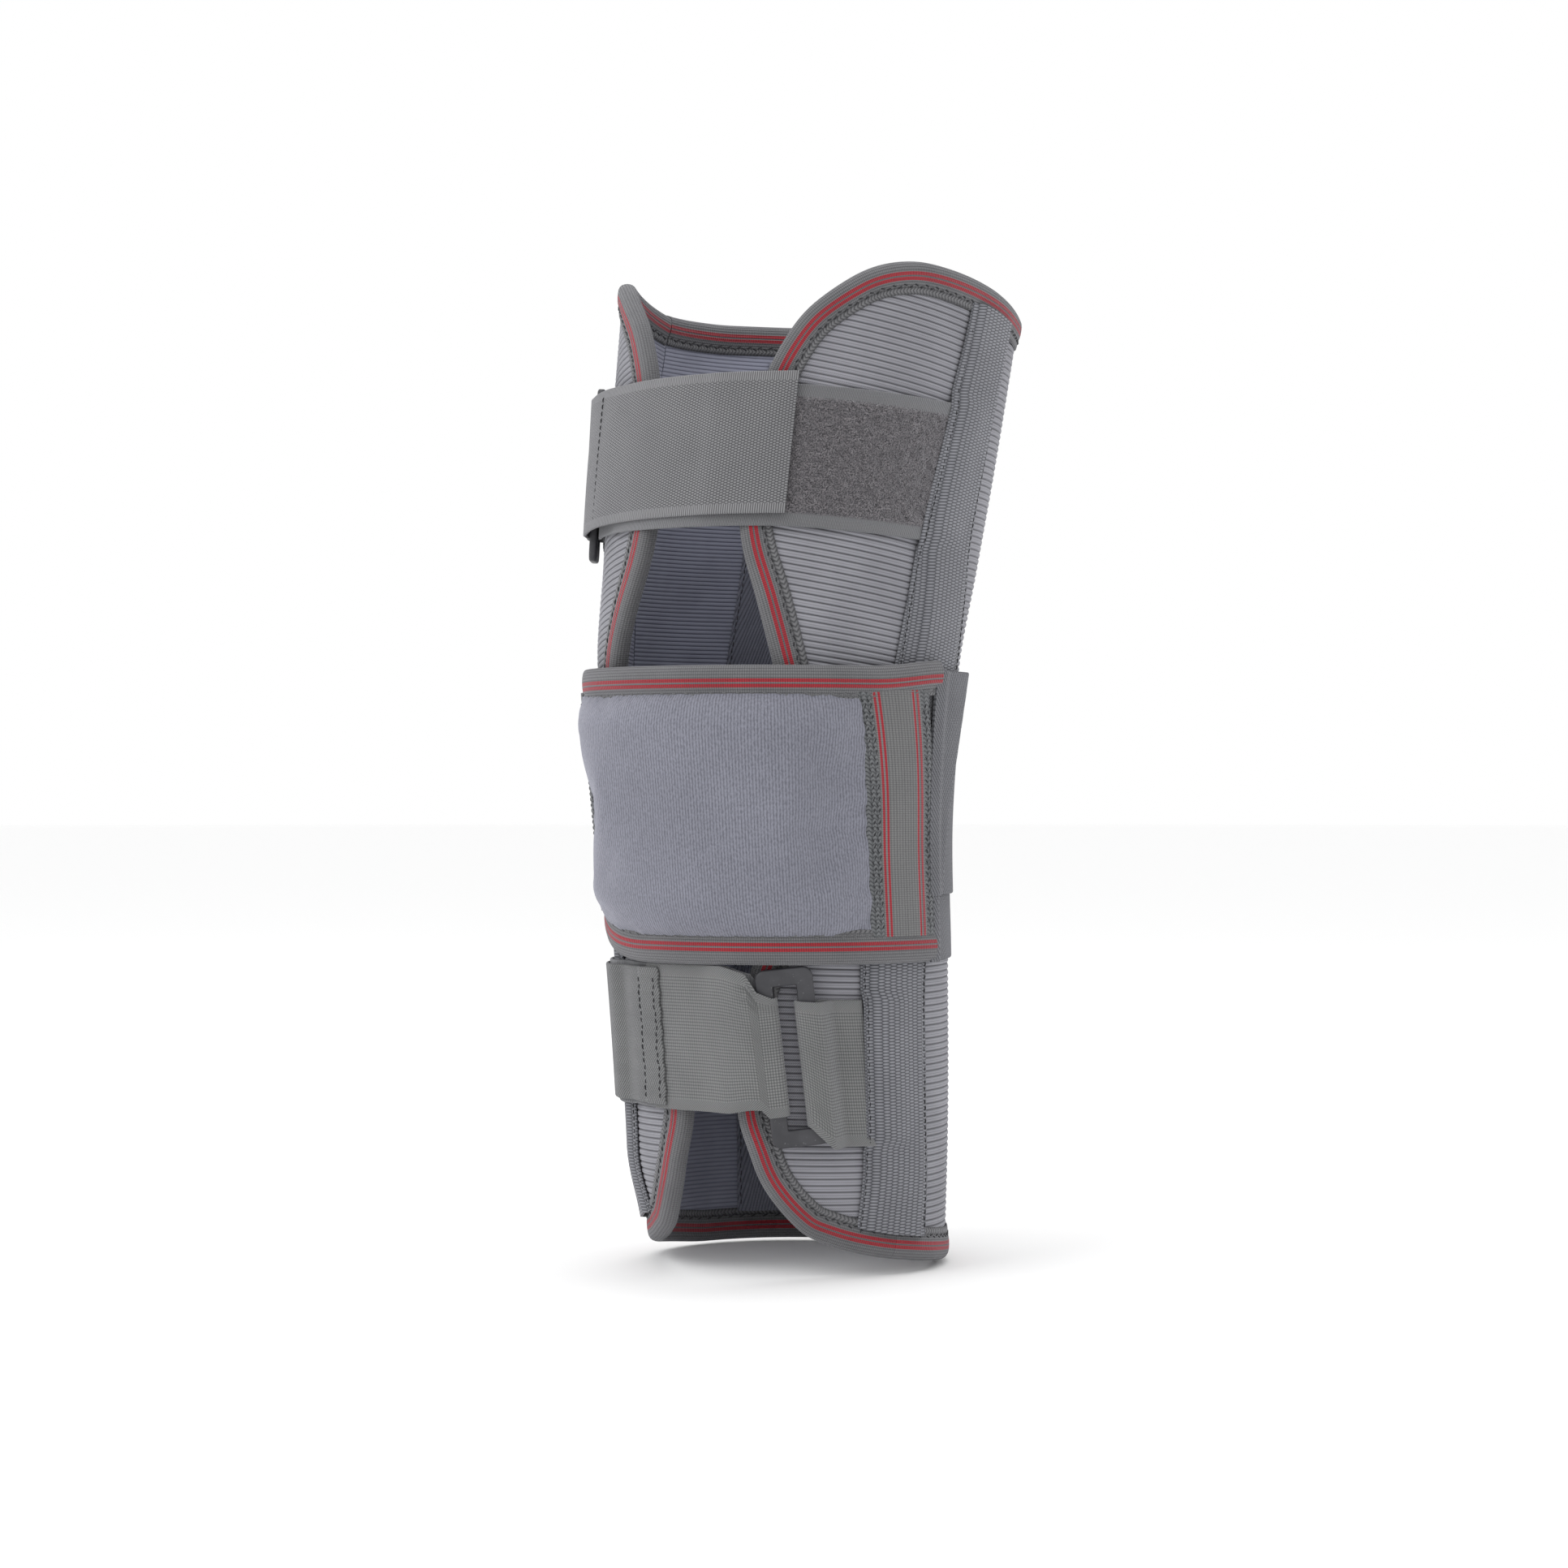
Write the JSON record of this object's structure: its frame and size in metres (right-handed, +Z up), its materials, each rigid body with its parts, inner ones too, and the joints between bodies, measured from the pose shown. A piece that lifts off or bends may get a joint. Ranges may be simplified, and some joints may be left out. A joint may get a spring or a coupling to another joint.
{
  "type": "knee brace",
  "caption": "Long knee brace: a ribbed wrap with a front opening, sewn-in splints, a soft patella pad on an elastic band, and straps that fold back through plastic rings.",
  "frame": {"origin": "middle of the brace's footprint at the height of its lower edge, on the leg passage's way in at the calf end", "axes": "+Z up the leg towards the thigh, -Y out of the front of the knee, +X towards the side that the pad opens from"},
  "size_m": [0.152, 0.2041, 0.3661],
  "materials": {
    "laminate": "ribbed woven face over thin foam, grey",
    "binding": "woven elastic binding, dark grey with two red lines",
    "splint": "plain mill finish",
    "webbing_tape": "woven tape, grey",
    "inner_tape": "woven tape, dark grey blue",
    "knee_elastic": "twill woven elastic, grey",
    "pad_lining": "knitted lining, dark grey",
    "pad_foam": "soft foam",
    "pad_plush": "brushed loop knit, blue grey",
    "pad_hem": "woven elastic binding, dark grey with two red lines",
    "loop_strap": "loop-faced strap, heathered grey",
    "strap_elastic": "knitted elastic strap, grey",
    "hook_tab": "twill woven tab with a hook underside, grey",
    "hook": "moulded hook tape, black",
    "ring_plastic": "moulded, charcoal, satin"
  },
  "bodies": {
    "wrap": {"back_panel": "laminate", "right_front_panel": "laminate", "left_front_panel": "laminate", "right_edge_binding": "binding", "left_edge_binding": "binding", "top_rear_binding": "binding", "bottom_rear_binding": "binding", "right_side_splint": "splint", "left_side_splint": "splint", "right_side_tape": "webbing_tape", "left_side_tape": "webbing_tape", "right_rear_splint": "splint", "left_rear_splint": "splint", "right_rear_tape": "inner_tape", "left_rear_tape": "inner_tape", "lower_knee_band": "knee_elastic", "upper_knee_band": "knee_elastic", "upper_strap": "loop_strap", "upper_ring_tab": "strap_elastic", "lower_strap": "loop_strap", "lower_ring_tab": "strap_elastic"},
    "pad": {"pad_lining": "pad_lining", "pad_foam": "pad_foam", "pad_cover": "pad_plush", "pad_top_hem": "pad_hem", "pad_bottom_hem": "pad_hem", "pad_right_hem": "pad_hem", "pad_left_hem": "pad_hem", "pad_hook_patch": "hook"},
    "upper_ring": {"upper_ring": "ring_plastic", "upper_strap_fold": "strap_elastic"},
    "upper_tail": {"upper_strap_tail": "strap_elastic", "upper_hook_patch": "hook"},
    "lower_ring": {"lower_ring": "ring_plastic", "lower_strap_fold": "strap_elastic"},
    "lower_tail": {"lower_strap_tail": "strap_elastic", "lower_hook_tab": "hook_tab"}
  },
  "joints": [
    {"name": "pad_open", "type": "hinge", "parent": "wrap", "child": "pad", "pos_m": [0.0643, -0.022, 0.1136], "axis": [0.0541, -0.0478, 0.9974], "range_deg": [0, 110]},
    {"name": "upper_ring_tilt", "type": "hinge", "parent": "wrap", "child": "upper_ring", "pos_m": [-0.06616, -0.0392, 0.29381], "axis": [-0.0468, -0.0252, -0.9986], "range_deg": [0, 15]},
    {"name": "upper_strap_peel", "type": "hinge", "parent": "upper_ring", "child": "upper_tail", "pos_m": [-0.06037, -0.04994, 0.29381], "axis": [-0.0468, -0.0252, -0.9986], "range_deg": [0, 120]},
    {"name": "lower_ring_tilt", "type": "hinge", "parent": "wrap", "child": "lower_ring", "pos_m": [0.03761, -0.06454, 0.08031], "axis": [-0.0471, -0.1417, 0.9888], "range_deg": [0, 15]},
    {"name": "lower_strap_peel", "type": "hinge", "parent": "lower_ring", "child": "lower_tail", "pos_m": [0.02714, -0.07065, 0.07893], "axis": [-0.0471, -0.1417, 0.9888], "range_deg": [0, 120]}
  ]
}
